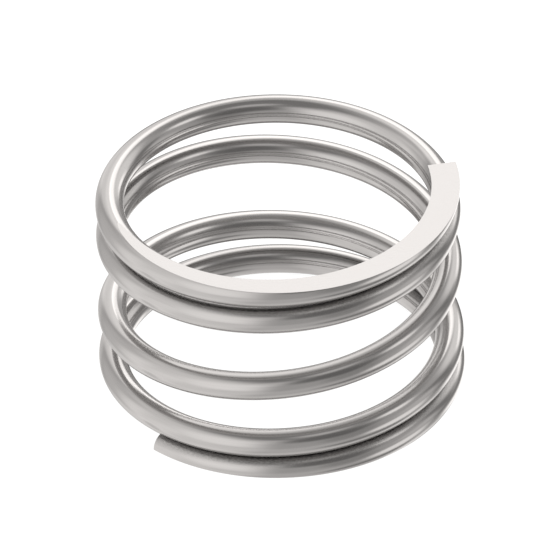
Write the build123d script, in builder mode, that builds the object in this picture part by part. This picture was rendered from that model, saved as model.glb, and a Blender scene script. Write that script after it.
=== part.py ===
from build123d import *
import math
import os

# Small compression spring, wound right-handed from one length of round spring wire.
# Millimetres, +Z up. The coil's axis is Z and the bottom seat lies in the XY plane.

# Driving sizes
wire_diameter = 1.0
outside_diameter = 12.8
free_length = 7.92  # between the two ground seats
total_turns = 4.41
end_turns = 0.86  # turns wound closed at each end
end_clearance = 0.035  # air left between a closed turn and its neighbour
bottom_tip_angle = 224.35  # degrees counter-clockwise from +X, seen from above
points_per_turn = 24  # points the wire's path is drawn through

# Sizes that follow from them
wire_radius = wire_diameter / 2
mean_radius = outside_diameter / 2 - wire_radius
closed_pitch = wire_diameter + end_clearance
active_turns = total_turns - 2 * end_turns
active_rise = free_length - closed_pitch * total_turns  # height the opened turns add


def wire_centre(turn):
    """Centre of the wire, a number of turns up from the bottom tip."""
    along = min(max((turn - end_turns) / active_turns, 0), 1)
    # The pitch swells smoothly from closed to open and back, like a cam's cycloidal lift
    opened = along - math.sin(2 * math.pi * along) / (2 * math.pi)
    angle = math.radians(bottom_tip_angle) + 2 * math.pi * turn
    x = mean_radius * math.cos(angle)
    y = mean_radius * math.sin(angle)
    return (x, y, closed_pitch * turn + active_rise * opened)


steps = math.ceil(total_turns * points_per_turn)
centres = [wire_centre(total_turns * i / steps) for i in range(steps + 1)]

# The wire is swept along its path, cut square at both tips. Both ends are then ground flat
# through the wire's centre at the tip, so each seat is a crescent that fades out where the
# wire has climbed half its thickness.
with BuildPart() as coil:
    with BuildLine():
        wire_path = Spline(*centres)
    with BuildSketch(Plane(origin=wire_path @ 0, z_dir=wire_path % 0)):
        Circle(wire_radius)
    sweep(path=wire_path)
    split(bisect_by=Plane.XY, keep=Keep.TOP)
    split(bisect_by=Plane.XY.offset(free_length), keep=Keep.BOTTOM)
coil.part.label = "coil"

os.makedirs("parts", exist_ok=True)
export_step(coil.part, "parts/coil.step")
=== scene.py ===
# %% [markdown]
# # A small compression spring
# The whole object is one length of round steel wire wound into a coil. Its last turns lie closed
# against their neighbours, and both ends are ground flat, so that the spring stands square.
# The lesson winds the coil by the rule that a coiling machine follows, grinds its ends, gives
# the steel its three finishes, and lights it as a small bright part is lit in a studio.

# %% Load the frame
import math

import bmesh
import bpy
from mathutils import Matrix, Vector


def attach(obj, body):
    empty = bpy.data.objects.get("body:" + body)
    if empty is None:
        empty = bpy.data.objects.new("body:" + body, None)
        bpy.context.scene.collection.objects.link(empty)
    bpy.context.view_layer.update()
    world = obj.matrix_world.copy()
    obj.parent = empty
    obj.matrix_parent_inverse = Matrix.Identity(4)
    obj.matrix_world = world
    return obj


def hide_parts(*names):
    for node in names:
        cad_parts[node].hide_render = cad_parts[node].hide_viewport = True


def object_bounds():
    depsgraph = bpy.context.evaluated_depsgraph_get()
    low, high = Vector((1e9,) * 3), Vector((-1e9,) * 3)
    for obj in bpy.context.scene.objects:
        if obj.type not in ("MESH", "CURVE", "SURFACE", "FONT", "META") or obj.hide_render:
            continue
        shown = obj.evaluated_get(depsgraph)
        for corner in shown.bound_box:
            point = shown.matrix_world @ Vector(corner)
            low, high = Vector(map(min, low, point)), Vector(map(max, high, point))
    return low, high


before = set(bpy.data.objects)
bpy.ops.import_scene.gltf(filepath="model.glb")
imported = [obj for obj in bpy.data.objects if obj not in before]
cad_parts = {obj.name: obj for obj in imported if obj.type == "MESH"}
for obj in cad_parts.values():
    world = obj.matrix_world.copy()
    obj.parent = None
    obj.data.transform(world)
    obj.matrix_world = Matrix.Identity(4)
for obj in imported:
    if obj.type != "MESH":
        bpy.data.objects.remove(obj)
cad_low, cad_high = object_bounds()
MM = 0.001
print("CAD box, mm:", [round((high - low) / MM, 3) for low, high in zip(cad_low, cad_high)])

# %% [markdown]
# ## The sizes of the spring
# A spring maker works from a short list: the wire, the outside diameter, the free length, the
# number of turns and how the ends are made. The two overall sizes come from the frame, so that
# this model and the solid can't drift apart. The rest is written here once.

# %% Sizes, in metres and turns
outside_diameter = round((cad_high.x - cad_low.x) / MM, 2) * MM
free_length = round((cad_high.z - cad_low.z) / MM, 2) * MM
wire_diameter = 1.0 * MM
total_turns = 4.41
end_turns = 0.86
end_clearance = 0.035 * MM
bottom_tip_angle = math.radians(224.35)
print("outside diameter and free length, mm:", outside_diameter / MM, free_length / MM)

# %% [markdown]
# ## Writing a node tree in code
# A Geometry Nodes tree and a material are both lists of nodes, with links between their
# sockets. They could be clicked together in the editor, but a tree that a script builds can be
# read and changed like the rest of the script. This helper adds a node, links or sets an input,
# and writes arithmetic as one line, so that the formulas further down read like formulas.


# %% A helper for node trees
class Tree:
    """A node tree, with short ways to add nodes, links and arithmetic."""

    def __init__(self, tree):
        self.nodes = tree.nodes
        self.links = tree.links

    def node(self, kind, **settings):
        made = self.nodes.new(kind)
        for name, value in settings.items():
            setattr(made, name, value)
        return made

    def feed(self, socket, value):
        """Links another node's output into a socket, or sets the socket to a plain value."""
        if isinstance(value, bpy.types.NodeSocket):
            self.links.new(value, socket)
        else:
            socket.default_value = value

    def made_from(self, kind, *values, **settings):
        """Adds a node, feeds its first inputs in order and gives its outputs."""
        made = self.node(kind, **settings)
        for socket, value in zip(made.inputs, values):
            self.feed(socket, value)
        return made.outputs

    def math(self, operation, *values):
        return self.made_from("ShaderNodeMath", *values, operation=operation)[0]

    def vector(self, operation, *values):
        """Vector arithmetic. DOT_PRODUCT and LENGTH give a number, the rest give a vector."""
        outputs = self.made_from("ShaderNodeVectorMath", *values, operation=operation)
        return outputs["Value" if operation in ("DOT_PRODUCT", "LENGTH") else "Vector"]

    def group(self, tree, **values):
        """Places a shader node group and sets its inputs by name."""
        made = self.node("ShaderNodeGroup", node_tree=tree)
        for name, value in values.items():
            self.feed(made.inputs[name], value)
        return made.outputs


def named_sockets(tree, inputs, outputs):
    """Gives a node group its sockets. Both lists pair a name with a kind of value."""
    for direction, sockets in (("INPUT", inputs), ("OUTPUT", outputs)):
        for name, kind in sockets.items():
            tree.interface.new_socket(name, in_out=direction, socket_type="NodeSocket" + kind)


print("node helpers are ready")

# %% [markdown]
# ## Winding the coil
# A coiling machine pushes wire against a pin that bends it to a constant curve, while a second
# tool sets the pitch. For the end turns that tool stays back, and they come out closed. For
# the turns between, it moves out and back smoothly, and they come out open.
# A Screw modifier can only wind an even pitch, and a list of points would hide the rule. So a
# Geometry Nodes tree makes a straight line of points and moves each to where the rule puts it.

# %% The coil's tree and its inputs
coil_tree = bpy.data.node_groups.new("Wound coil", "GeometryNodeTree")
coil_sizes = {
    "Outside Diameter": outside_diameter,
    "Wire Diameter": wire_diameter,
    "Free Length": free_length,
    "Total Turns": total_turns,
    "End Turns": end_turns,
    "End Clearance": end_clearance,
    "Tip Angle": bottom_tip_angle,
}
fineness = {"Rings": round(total_turns * 150), "Sides": 112}
coil_inputs = {
    **dict.fromkeys(coil_sizes, "Float"),
    **dict.fromkeys(fineness, "Int"),
    "Finish": "Material",
}
named_sockets(coil_tree, coil_inputs, {"Coil": "Geometry"})
t = Tree(coil_tree)
given = t.node("NodeGroupInput").outputs
print("inputs:", ", ".join(coil_inputs))

# %% Sizes that follow from the inputs
wire_radius = t.math("MULTIPLY", given["Wire Diameter"], 0.5)
outside_radius = t.math("MULTIPLY", given["Outside Diameter"], 0.5)
mean_radius = t.math("SUBTRACT", outside_radius, wire_radius)
turn_length = t.math("MULTIPLY", mean_radius, math.tau)
closed_pitch = t.math("ADD", given["Wire Diameter"], given["End Clearance"])
closed_height = t.math("MULTIPLY", closed_pitch, given["Total Turns"])
added_rise = t.math("SUBTRACT", given["Free Length"], closed_height)
active_turns = t.math("SUBTRACT", given["Total Turns"], t.math("MULTIPLY", given["End Turns"], 2))
print("nodes so far:", len(coil_tree.nodes))

# %% [markdown]
# The rise of the wire is written as one function of the turn. The wire climbs at the closed
# pitch all the way. The opened turns add a rise that starts and stops without a jerk, which a
# machinist knows as a cycloidal cam: x - sin(2 pi x) / (2 pi), with x from 0 to 1.


# %% The rule that the wire follows
def wire_height(turns_up):
    """Height of the wire's centre, a number of turns up from the bottom tip."""
    opened = t.math("DIVIDE", t.math("SUBTRACT", turns_up, given["End Turns"]), active_turns)
    opened = t.math("MINIMUM", t.math("MAXIMUM", opened, 0), 1)
    sway = t.math("DIVIDE", t.math("SINE", t.math("MULTIPLY", opened, math.tau)), math.tau)
    lift = t.math("MULTIPLY", t.math("SUBTRACT", opened, sway), added_rise)
    return t.math("ADD", t.math("MULTIPLY", closed_pitch, turns_up), lift)


print("the rule is ready")

# %% [markdown]
# The wire starts as a straight line of points, one for each ring of the surface to come. Each
# point keeps the number of turns that it is up from the bottom tip, because the finish asks for
# it later, and is then moved round the axis and up to where the rule puts it.


# %% Wind the line of points
def store(geometry, name, kind, value):
    """Keeps a value on the points of a curve or a mesh, under a name."""
    made = t.node("GeometryNodeStoreNamedAttribute", data_type=kind, domain="POINT")
    t.feed(made.inputs["Geometry"], geometry)
    t.feed(made.inputs["Name"], name)
    t.feed(made.inputs["Value"], value)
    return made.outputs["Geometry"]


line = t.node("GeometryNodeCurvePrimitiveLine").outputs["Curve"]
points = t.node("GeometryNodeResampleCurve")
t.feed(points.inputs["Curve"], line)
t.feed(points.inputs["Count"], given["Rings"])
part_way = t.node("GeometryNodeSplineParameter").outputs["Factor"]
turn = t.math("MULTIPLY", part_way, given["Total Turns"])
numbered = store(points.outputs["Curve"], "turn", "FLOAT", turn)
angle = t.math("ADD", t.math("MULTIPLY", turn, math.tau), given["Tip Angle"])
x = t.math("MULTIPLY", mean_radius, t.math("COSINE", angle))
y = t.math("MULTIPLY", mean_radius, t.math("SINE", angle))
wound = t.node("GeometryNodeSetPosition")
t.feed(wound.inputs["Geometry"], numbered)
t.feed(wound.inputs["Position"], t.made_from("ShaderNodeCombineXYZ", x, y, wire_height(turn))[0])
print("nodes so far:", len(coil_tree.nodes))

# %% [markdown]
# A circle drawn along the path gives the wire its thickness. The path's normals are set to lie
# level, because a section that follows the curve's own twist would turn as it climbs.

# %% Draw the round section along the path
upright = t.node("GeometryNodeSetCurveNormal", mode="Z_UP")
t.feed(upright.inputs["Curve"], wound.outputs["Geometry"])
section = t.node("GeometryNodeCurvePrimitiveCircle", mode="RADIUS")
t.feed(section.inputs["Resolution"], given["Sides"])
t.feed(section.inputs["Radius"], wire_radius)
drawn = t.node("GeometryNodeCurveToMesh")
t.feed(drawn.inputs["Curve"], upright.outputs["Curve"])
t.feed(drawn.inputs["Profile Curve"], section.outputs["Curve"])
t.feed(drawn.inputs["Fill Caps"], True)
print("nodes so far:", len(coil_tree.nodes))

# %% [markdown]
# The finish of drawn wire follows the wire, so its pattern needs to know where on the wire it
# is. Every point of the surface gets its place as if the coil were pulled straight: its
# distance along the wire, how far out from the wire's centre it lies, and how far up. A UV map
# could do this too, but it would have a seam all along the wire.

# %% Each point's place on the straight wire
on_turn = t.node("GeometryNodeInputNamedAttribute", data_type="FLOAT")
t.feed(on_turn.inputs["Name"], "turn")
here = on_turn.outputs["Attribute"]
place = t.made_from("ShaderNodeSeparateXYZ", t.node("GeometryNodeInputPosition").outputs[0])
from_axis = t.vector("LENGTH", t.made_from("ShaderNodeCombineXYZ", place["X"], place["Y"], 0)[0])
outward = t.math("SUBTRACT", from_axis, mean_radius)
upward = t.math("SUBTRACT", place["Z"], wire_height(here))
along = t.math("MULTIPLY", here, turn_length)
straight = t.made_from("ShaderNodeCombineXYZ", along, outward, upward)[0]
placed = store(drawn.outputs["Mesh"], "straight_wire", "FLOAT_VECTOR", straight)
print("nodes so far:", len(coil_tree.nodes))

# %% [markdown]
# Between closed turns, shade is painted into the steel's colour where the gap is narrow, so the
# finish also needs to know how near the neighbouring turn is. In a cut through the wire,
# that is the distance to the neighbour's centre less the wire's radius. Past either tip there
# is no neighbour, and the distance grows with the way back to the tip, so nothing ends in a
# hard edge.


# %% How near the next turn is
def clearance(turns_away):
    """Distance from each point to the turn above (1) or below (-1)."""
    other = t.math("ADD", here, turns_away)
    past_top = t.math("SUBTRACT", other, given["Total Turns"])
    past_tip = t.math("MAXIMUM", t.math("MAXIMUM", past_top, t.math("MULTIPLY", other, -1)), 0)
    beyond = t.math("MULTIPLY", past_tip, turn_length)
    rise = t.math("SUBTRACT", wire_height(other), place["Z"])
    to_centre = t.vector("LENGTH", t.made_from("ShaderNodeCombineXYZ", outward, rise, beyond)[0])
    return t.math("SUBTRACT", to_centre, wire_radius)


gap = t.math("MINIMUM", clearance(1), clearance(-1))
marked = store(placed, "gap_beside", "FLOAT", gap)
print("nodes so far:", len(coil_tree.nodes))

# %% [markdown]
# The tree ends by making everything real mesh and giving it the finish that comes in by name.

# %% Finish the tree
realized = t.made_from("GeometryNodeRealizeInstances", marked)["Geometry"]
finished = t.node("GeometryNodeSetMaterial")
t.feed(finished.inputs["Geometry"], realized)
t.feed(finished.inputs["Material"], given["Finish"])
t.feed(t.node("NodeGroupOutput").inputs["Coil"], finished.outputs["Geometry"])
print("the coil's tree has", len(coil_tree.nodes), "nodes")

# %% [markdown]
# ## Tool marks
# Drawing and grinding both leave fine parallel lines. One node group makes them for every
# finish: a noise pattern stretched along the direction of the marks, which is its X axis. Its
# two sizes are in millimetres, so it draws long drawing lines and short grinding lines alike.
# An image of scratches would repeat, and would blur close up.

# %% The tool-mark group
marks_tree = bpy.data.node_groups.new("Tool marks", "ShaderNodeTree")
named_sockets(
    marks_tree, {"Place": "Vector", "Length": "Float", "Width": "Float"}, {"Marks": "Float"})
t = Tree(marks_tree)
given = t.node("NodeGroupInput").outputs
lengthwise = t.math("DIVIDE", 1 / MM, given["Length"])
crosswise = t.math("DIVIDE", 1 / MM, given["Width"])
stretch = t.made_from("ShaderNodeCombineXYZ", lengthwise, crosswise, crosswise)[0]
lines = t.node("ShaderNodeTexNoise")
t.feed(lines.inputs["Vector"], t.vector("MULTIPLY", given["Place"], stretch))
t.feed(lines.inputs["Scale"], 1.0)
t.feed(lines.inputs["Detail"], 3.0)
t.feed(lines.inputs["Roughness"], 0.6)
t.feed(t.node("NodeGroupOutput").inputs["Marks"], lines.outputs["Fac"])
print("tool marks:", len(t.nodes), "nodes")

# %% [markdown]
# ## The steel's finishes
# The spring is bare steel all over, so its finishes share one colour, and each has its own
# brightness, roughness and relief. These three helpers give a metal those, each from a pattern
# that varies over the surface. Bare steel sends back about half of the light.

# %% Helpers for a metal finish
steel = (0.513, 0.505, 0.500)


def new_metal(name):
    """A fully metallic material, with its tree and its shader."""
    material = bpy.data.materials.new(name)
    material.use_nodes = True
    shader = material.node_tree.nodes["Principled BSDF"]
    shader.inputs["Metallic"].default_value = 1.0
    return material, Tree(material.node_tree), shader


def blend(value, start, end, low, high):
    """Goes evenly from low to high while a value goes from start to end, and no further."""
    return t.made_from("ShaderNodeMapRange", value, start, end, low, high)["Result"]


def relief(height, depth):
    """A bumped normal, with the full depth of the pattern in metres."""
    bump = t.node("ShaderNodeBump")
    t.feed(bump.inputs["Strength"], 1.0)
    t.feed(bump.inputs["Distance"], depth)
    t.feed(bump.inputs["Height"], height)
    return bump.outputs["Normal"]


PALE, DARK = 0.3, 0.7  # where most of a noise pattern's values lie
print("steel colour:", steel)

# %% [markdown]
# ### Drawn wire
# Spring wire is bright and smooth, because it is pulled through a polished die. What is left
# are very faint lines along it, and places where the drawing soap left it a touch duller. Both
# patterns read the place on the straight wire, so they bend with the coil.

# %% Drawn wire: lines and soap
drawn_wire, t, shader = new_metal("Drawn wire")
on_wire = t.node("ShaderNodeAttribute", attribute_name="straight_wire").outputs["Vector"]
die_lines = t.group(marks_tree, Place=on_wire, Length=25.0, Width=0.05)["Marks"]
soap_film = t.group(marks_tree, Place=on_wire, Length=4.0, Width=0.6)["Marks"]
line_tint = blend(die_lines, PALE, DARK, 0.98, 1.02)
soap_roughness = blend(soap_film, PALE, DARK, 0.15, 0.18)
print("lines and soap:", len(t.nodes), "nodes")

# %% [markdown]
# Beside a closed turn, shade is painted into the steel's colour: in the narrow gap it is darkest
# and broken into specks, and the steel is rougher there too. A wider, lighter painted shade lies
# on the inner side of the closed turns. Both fade out with the distance to the next turn,
# which is read from the points, where the coil's tree stored it.

# %% Drawn wire: painted shade beside a closed turn
near_gap_reach = (0.18 * MM, 0.40 * MM)  # whole up to the first distance, gone at the second
inner_shade_reach = (0.35 * MM, 0.95 * MM)
inner_side = (-0.20 * MM, 0.05 * MM)  # from the wire's centre, less than 0 is inwards
gap_beside = t.node("ShaderNodeAttribute", attribute_name="gap_beside").outputs["Fac"]
shade_specks = t.group(marks_tree, Place=on_wire, Length=0.10, Width=0.05)["Marks"]
# Painted shade in the gap beside a closed turn, broken into specks, gone past the reach's far
# end.
painted_gap_shade = blend(gap_beside, *near_gap_reach, blend(shade_specks, PALE, DARK, 0.90, 0.50), 1.0)
gap_roughness = blend(gap_beside, *near_gap_reach, 0.12, 0.0)
# Painted shade on the inner side of the closed turns, fading with the distance to the next turn.
painted_shade_by_gap = blend(gap_beside, *inner_shade_reach, blend(shade_specks, PALE, DARK, 0.80, 0.60), 1.0)
from_centre = t.made_from("ShaderNodeSeparateXYZ", on_wire)["Y"]
painted_inner_shade = blend(from_centre, *inner_side, painted_shade_by_gap, 1.0)
print("film and dust:", len(t.nodes), "nodes")

# %% Drawn wire: the steel, with its die lines and the painted shade
# The die lines and the painted shade beside closed turns darken the steel's colour.
lines_and_painted_shade = t.math("MULTIPLY", t.math("MULTIPLY", line_tint, painted_gap_shade), painted_inner_shade)
t.feed(shader.inputs["Base Color"], t.vector("MULTIPLY", steel, lines_and_painted_shade))
t.feed(shader.inputs["Roughness"], t.math("ADD", soap_roughness, gap_roughness))
t.feed(shader.inputs["Normal"], relief(die_lines, 0.00003 * MM))
print("drawn wire:", len(t.nodes), "nodes")

# %% [markdown]
# ### Ground seats
# The seats come off the side of a grinding wheel: dead flat, freshly cut and so brighter than
# the wire, with short straight lines all one way. They lie level, so Object coordinates are
# enough to place the lines.

# %% Ground seats
ground_seat, t, shader = new_metal("Ground seat")
on_seat = t.node("ShaderNodeTexCoord").outputs["Object"]
wheel_lines = t.group(marks_tree, Place=on_seat, Length=2.5, Width=0.04)["Marks"]
fresh_cut = blend(wheel_lines, PALE, DARK, 1.11, 1.15)
t.feed(shader.inputs["Base Color"], t.vector("MULTIPLY", steel, fresh_cut))
t.feed(shader.inputs["Roughness"], blend(wheel_lines, PALE, DARK, 0.22, 0.28))
t.feed(shader.inputs["Normal"], relief(wheel_lines, 0.00006 * MM))
print("ground seat:", len(t.nodes), "nodes")

# %% [markdown]
# ### Sheared tips
# A cutter shears the wire off when the last turn is wound. The tip it leaves is duller than
# the wire and slightly torn, so its pattern is coarse, nearly as wide as it is long, and deep.

# %% Sheared tips
sheared_tip, t, shader = new_metal("Sheared tip")
on_tip = t.node("ShaderNodeTexCoord").outputs["Object"]
tears = t.group(marks_tree, Place=on_tip, Length=0.08, Width=0.05)["Marks"]
torn = blend(tears, PALE, DARK, 0.75, 0.95)
t.feed(shader.inputs["Base Color"], t.vector("MULTIPLY", steel, torn))
t.feed(shader.inputs["Roughness"], blend(tears, PALE, DARK, 0.35, 0.50))
t.feed(shader.inputs["Normal"], relief(tears, 0.01 * MM))
print("sheared tip:", len(t.nodes), "nodes")

# %% [markdown]
# ## Wind the spring
# The tree runs as a modifier on an empty mesh. Its inputs are set by each socket's identifier,
# since a name isn't sure to be unique. The evaluated result is copied to a plain mesh and the
# holder is thrown away, so that what is left is an ordinary mesh that can be ground.

# %% Wind it
holder = bpy.data.objects.new("winding", bpy.data.meshes.new("winding"))
bpy.context.scene.collection.objects.link(holder)
modifier = holder.modifiers.new("Wound coil", "NODES")
modifier.node_group = coil_tree
values = {**coil_sizes, **fineness, "Finish": drawn_wire}
for socket in coil_tree.interface.items_tree:
    if socket.in_out == "INPUT":
        modifier[socket.identifier] = values[socket.name]
evaluated = holder.evaluated_get(bpy.context.evaluated_depsgraph_get())
wire_mesh = bpy.data.meshes.new_from_object(evaluated)
bpy.data.objects.remove(holder)
wire_mesh.name = "coil_wire"
print("wound wire:", len(wire_mesh.vertices), "points,", len(wire_mesh.polygons), "faces")

# %% [markdown]
# ## Grind both ends
# The real ends are ground by two wheels that stand a free length apart. Here two planes cut
# the mesh, everything outside them is cleared, and each cut is closed by one flat face. A
# Boolean with two blocks would do the same, but it would lose the stored places on the wire.
# Only the two ends of the wound wire are faces with more than four corners, which tells the
# sheared tips from the drawn wire.

# %% Grind the ends flat
wire_mesh.materials.append(ground_seat)
wire_mesh.materials.append(sheared_tip)
WIRE, SEAT, TIP = range(3)
on_plane = 1e-4 * MM  # a point as near as this to a wheel's plane lies on it
work = bmesh.new()
work.from_mesh(wire_mesh)
for face in work.faces:
    face.material_index = TIP if len(face.verts) > 4 else WIRE
for height, side in ((0.0, -1), (free_length, 1)):
    cut = bmesh.ops.bisect_plane(
        work, geom=work.verts[:] + work.edges[:] + work.faces[:], clear_outer=True,
        dist=on_plane, plane_co=(0, 0, height), plane_no=(0, 0, side))
    rim = [part for part in cut["geom_cut"] if isinstance(part, bmesh.types.BMEdge)]
    for seat in bmesh.ops.contextual_create(work, geom=rim)["faces"]:
        seat.material_index = SEAT
        print("seat at", height / MM, "mm, area in mm2:", round(seat.calc_area() / MM**2, 2))
print("open edges:", sum(not edge.is_manifold for edge in work.edges))

# %% [markdown]
# Only the drawn wire is shaded smooth. The seats and tips are flat faces with a crisp edge, so
# they stay flat, and they are cut into triangles because a crescent is no shape for one face.

# %% Shade and keep the mesh
for face in work.faces:
    face.smooth = face.material_index == WIRE
bmesh.ops.triangulate(work, faces=[face for face in work.faces if len(face.verts) > 4])
work.to_mesh(wire_mesh)
work.free()
coil = bpy.data.objects.new("coil_wire", wire_mesh)
bpy.context.scene.collection.objects.link(coil)
print("triangles:", sum(len(face.vertices) - 2 for face in wire_mesh.polygons))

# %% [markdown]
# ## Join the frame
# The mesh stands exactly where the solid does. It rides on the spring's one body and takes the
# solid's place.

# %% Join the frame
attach(coil, "root")
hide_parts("coil")
print("the wire rides on root")

# %% [markdown]
# ## The camera
# A small part is best seen from some distance through a long lens, which shows it almost
# without perspective, so the camera is orthographic. It looks down at the spring's middle from
# the front, a little rolled to one side.

# %% The camera
camera_elevation = math.radians(35.67)
camera_roll = math.radians(-1.5)
camera_distance = 200 * MM
off_centre = Vector((0.006, -0.006, 0)) * MM
lens = bpy.data.cameras.new("camera")
lens.type = "ORTHO"
lens.ortho_scale = 19.61 * MM
lens.clip_start = 1 * MM
camera = bpy.data.objects.new("camera", lens)
bpy.context.scene.collection.objects.link(camera)
backward = Vector((0, -math.cos(camera_elevation), math.sin(camera_elevation)))
facing = Matrix.Rotation(camera_roll, 3, backward) @ backward.to_track_quat("Z", "Y").to_matrix()
middle = Vector((0, 0, free_length / 2)) + facing @ off_centre
camera.matrix_world = Matrix.Translation(middle + backward * camera_distance) @ facing.to_4x4()
bpy.context.scene.camera = camera
print("the picture is", round(lens.ortho_scale / MM, 2), "mm wide")

# %% [markdown]
# ## The studio
# A bright metal has hardly any look of its own: it shows what stands around it. So the room
# matters as much as the steel, and it is built of what a product studio has. Softboxes and white
# cards are places that glow with a soft edge, and black cards, called flags, are places that
# take light away. Area lamps would do too, but each would need its own object, and the
# exported model would carry them along. Here they are all painted on the world.
#
# One group makes the soft edge for all of them. It measures how far a direction lies from the
# middle of a patch, sideways and upwards as angles, and falls off from 1 to 0. A larger Edge
# gives a flatter patch with a crisper border.

# %% The soft-patch group
patch_tree = bpy.data.node_groups.new("Soft patch", "ShaderNodeTree")
patch_inputs = {
    **dict.fromkeys(("Direction", "Toward", "Across", "Upward"), "Vector"),
    **dict.fromkeys(("Width", "Height", "Edge"), "Float"),
}
named_sockets(patch_tree, patch_inputs, {"Mask": "Float"})
t = Tree(patch_tree)
given = t.node("NodeGroupInput").outputs
ahead = t.vector("DOT_PRODUCT", given["Direction"], given["Toward"])
aside = t.vector("DOT_PRODUCT", given["Direction"], given["Across"])
above = t.vector("DOT_PRODUCT", given["Direction"], given["Upward"])
widths_out = t.math("DIVIDE", t.math("ARCTAN2", aside, ahead), given["Width"])
heights_out = t.math("DIVIDE", t.math("ARCSINE", above), given["Height"])
squared = t.math("ADD", t.math("POWER", widths_out, 2), t.math("POWER", heights_out, 2))
falloff = t.math("MULTIPLY", t.math("POWER", squared, given["Edge"]), -1)
t.feed(t.node("NodeGroupOutput").inputs["Mask"], t.math("EXPONENT", falloff))
print("soft patch:", len(t.nodes), "nodes")

# %% [markdown]
# Each patch is placed by its azimuth, counted from the camera's side round by the right, and
# its elevation. Its width and height are angles too, from its middle to its soft edge.

# %% The world and a way to place patches
world = bpy.data.worlds.new("studio")
bpy.context.scene.world = world
world.use_nodes = True
world.node_tree.nodes.clear()
t = Tree(world.node_tree)
direction = t.node("ShaderNodeTexCoord").outputs["Generated"]


def soft_patch(azimuth, elevation, width, height, edge, tilt=0):
    """A mask that is 1 in one place of the room and fades to 0 around it. Angles in degrees."""
    round_by, up_by, tilt_by = map(math.radians, (azimuth, elevation, tilt))
    across = Vector((math.cos(round_by), math.sin(round_by), 0))
    level = Vector((math.sin(round_by), -math.cos(round_by), 0))
    toward = level * math.cos(up_by) + Vector((0, 0, math.sin(up_by)))
    upward = Vector((0, 0, math.cos(up_by))) - level * math.sin(up_by)
    return t.group(
        patch_tree, Direction=direction, Toward=toward,
        Across=across * math.cos(tilt_by) + upward * math.sin(tilt_by),
        Upward=upward * math.cos(tilt_by) - across * math.sin(tilt_by),
        Width=math.radians(width), Height=math.radians(height), Edge=edge)["Mask"]


print("world ready")

# %% [markdown]
# The bare room comes first: a pale table below, grey walls, and a darker ceiling.

# %% The bare room
up = t.made_from("ShaderNodeSeparateXYZ", direction)["Z"]
elevation = t.math("DEGREES", t.math("ARCSINE", up))


def fade(start, end, low, high):
    """Goes from low to high between two elevations, in degrees."""
    return t.made_from(
        "ShaderNodeMapRange", elevation, start, end, low, high,
        interpolation_type="SMOOTHSTEP")["Result"]


table, walls, ceiling = 0.82, 0.54, 0.29
light = t.math("ADD", fade(-70, -40, table, walls), fade(40, 65, 0, ceiling - walls))
print("table, walls and ceiling:", table, walls, ceiling)

# %% [markdown]
# Then the lights, from the left side round behind the spring to the right. The tall strip
# behind it is the brightest: it draws the long highlights on the wire and whitens the seats.

# %% Softboxes and white cards
softboxes = {
    # azimuth, elevation, width, height, edge, tilt, glow
    "window": (-62, -3, 50, 65, 4.2, 0, 0.47),
    "window, brighter middle": (-40, 15, 26, 30, 2.1, 0, 0.25),
    "window, right edge": (-15, 37, 13, 15, 2.1, 0, 0.20),
    "window, left half": (-75, -9, 12, 20, 2.8, 0, 0.13),
    "window sill": (-88, -35, 11, 16, 2.5, 0, 0.16),
    "window, top": (-60, 56, 38, 8, 2.1, 0, 0.10),
    "left wall": (-115, 0, 25, 55, 2.8, 0, 0.22),
    "left wall, high": (-130, 55, 30, 20, 2.8, 0, 0.25),
    "left table": (-125, -45, 24, 14, 2.1, 0, 0.36),
    "left table, near": (-118, -66, 16, 8, 2.1, 0, 0.25),
    "back wall": (-165, 18, 18, 38, 3.5, 0, 0.53),
    "back wall, low": (-151, -12, 8, 20, 2.8, 0, 0.22),
    "back wall, high": (-175, 40, 16, 17, 2.1, 0, 0.25),
    "back wall, top": (180, 62, 20, 8, 2.1, 0, 0.30),
    "back table": (-170, -32, 12, 6, 2.1, 0, 0.50),
    "tall strip": (168, 27, 11, 25, 3.5, 10, 1.35),
    "side box": (136, 22, 20, 20, 3.5, 0, 0.60),
    "side box, lower end": (136, 3, 11, 9, 2.1, 0, 0.92),
    "table strip": (149, -36.5, 25, 7, 3.2, 0, 1.00),
    "table strip, glow below": (146, -55, 32, 13, 2.5, 0, 0.58),
    "round box": (81, 46, 10.5, 9.5, 2.5, 0, 0.95),
    "overhead box": (32, 67, 13, 9, 2.1, 0, 0.42),
    "right wall": (85, 5, 18, 12, 2.1, 0, 0.20),
    "low box": (74, -22, 23, 14, 2.8, 0, 0.78),
    "near table": (0, -35, 35, 16, 2.1, 0, 0.15),
}
for *where, tilt, glow in softboxes.values():
    light = t.math("ADD", light, t.math("MULTIPLY", soft_patch(*where, tilt), glow))
print("softboxes and cards:", len(softboxes))

# %% [markdown]
# Flags come last, because they stand in front of the rest. Without them the steel would look
# milky: it is their dark bands that make it look polished.

# %% Flags
flags = {
    # azimuth, elevation, width, height, edge, tilt, shade
    "front flag": (28, 37, 28, 18, 2.8, 0, 0.62),
    "front flag, foot": (38, 5, 18, 25, 2.8, 0, 0.30),
    "right flag": (106, 8, 8, 25, 2.5, 25, 0.50),
    "right flag, foot": (102, -20, 12, 8, 2.1, 0, 0.35),
    "back flag": (138, -18, 30, 8, 2.5, 0, 0.38),
    "back flag, far end": (161, -24, 10, 9, 2.5, 0, 0.65),
    "back flag, round the corner": (-175, -12, 9, 10, 2.5, 0, 0.65),
    "window, lower right corner": (-32, -24, 13, 15, 2.1, 0, 0.12),
    "flag under the low box": (60, -49, 25, 9, 2.5, 0, 0.50),
    "flag under the strip": (170, -50, 15, 11, 2.8, 0, 0.60),
    "small slanted flag": (-96, -40, 4.8, 12, 6.0, -28, 0.30),
}
for *where, tilt, shade in flags.values():
    let_through = t.math("SUBTRACT", 1, t.math("MULTIPLY", soft_patch(*where, tilt), shade))
    light = t.math("MULTIPLY", light, let_through)
print("flags:", len(flags))

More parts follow.
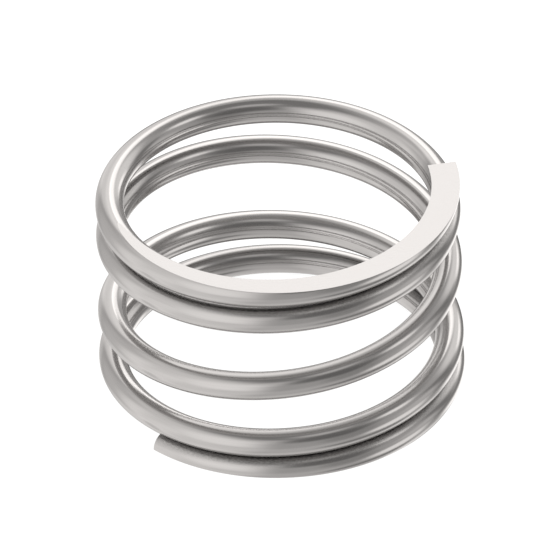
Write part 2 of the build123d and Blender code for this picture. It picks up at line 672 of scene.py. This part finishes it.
# %% [markdown]
# Light that reaches the eye by way of two turns or more comes from all over the room, because
# thin round wires spread it so widely. Most of it is taken from the room's plain average, which
# leaves less grain between the turns than following every ray to its own lamp. The average
# rises a little with each further bounce. The steel takes half of the light every time, and
# without this rise the small mirror images of other turns would be edged in black.
#
# Light Path counts the steps of a ray, and the last one, out into the room, counts too. So a
# ray that comes by way of one turn has a depth of 2, and one by way of two turns has 3.

# %% Light that has bounced more than once
room_average = 0.80
scattered_share = 0.8
gain_per_bounce = 1.4
depth_by_one_turn, depth_by_two_turns = 2, 3
ray = t.node("ShaderNodeLightPath").outputs
bounced_twice = t.math("GREATER_THAN", ray["Ray Depth"], depth_by_one_turn + 0.5)
scattered = t.math("MULTIPLY", bounced_twice, scattered_share)
further = t.math("MAXIMUM", t.math("SUBTRACT", ray["Ray Depth"], depth_by_two_turns), 0.0)
average = t.math("MULTIPLY", t.math("POWER", gain_per_bounce, further), room_average)
even = t.math("MULTIPLY", t.math("SUBTRACT", average, light), scattered)
light = t.math("ADD", light, even)
print("plain average of the room:", room_average)

# %% [markdown]
# The lamps are a touch warm. The camera itself sees a plain white backdrop instead of the
# room, as in a cut-out picture, and so does the floor, which then takes an even light that
# costs little to compute. Only what mirrors the room, the steel, sees its lamps. That is also
# why the world isn't sampled as a lamp: every useful ray finds it by bouncing off the wire.

# %% Join the room to the world
warmth = (1.022, 0.995, 0.977)
room = t.made_from("ShaderNodeBackground", t.vector("MULTIPLY", warmth, light))[0]
backdrop = t.made_from("ShaderNodeBackground", (1, 1, 1, 1), 1.0)[0]
sees_backdrop = t.math("MAXIMUM", ray["Is Camera Ray"], ray["Is Diffuse Ray"])
surroundings = t.made_from("ShaderNodeMixShader", sees_backdrop, room, backdrop)[0]
t.feed(t.node("ShaderNodeOutputWorld").inputs["Surface"], surroundings)
world.cycles.sampling_method = "NONE"
bpy.context.scene.view_settings.view_transform = "Standard"
print("world:", len(t.nodes), "nodes")

# %% [markdown]
# ## The floor
# The spring stands on plain white paper. The paper is mostly its own even glow, which keeps it
# white to the edge of the picture, over a matt grey that lets the spring's shadow show. It lies
# a hair below the spring, so that the two surfaces never coincide, and it stays out of mirror
# images, because the room above already has its table.

# %% White paper
paper_grey = (0.25, 0.25, 0.25, 1)
paper_glow = 0.9
paper = bpy.data.materials.new("White paper")
paper.use_nodes = True
paper.node_tree.nodes.clear()
t = Tree(paper.node_tree)
matt = t.made_from("ShaderNodeBsdfDiffuse", paper_grey)[0]
even_glow = t.made_from("ShaderNodeEmission", (1, 1, 1, 1), paper_glow)[0]
both = t.made_from("ShaderNodeAddShader", matt, even_glow)[0]
t.feed(t.node("ShaderNodeOutputMaterial").inputs["Surface"], both)
print("paper: grey", paper_grey[0], "and glow", paper_glow)

# %% The floor
floor_drop = 0.005 * MM
floor_reach = 1.0
outline = ((-1, -1), (1, -1), (1, 1), (-1, 1))
floor_corners = [(x * floor_reach, y * floor_reach, -floor_drop) for x, y in outline]
floor_mesh = bpy.data.meshes.new("floor")
floor_mesh.from_pydata(floor_corners, [], [(0, 1, 2, 3)])
floor_mesh.materials.append(paper)
floor = bpy.data.objects.new("floor", floor_mesh)
bpy.context.scene.collection.objects.link(floor)
floor.visible_glossy = False
print("floor ready, a square", 2 * floor_reach, "m wide")
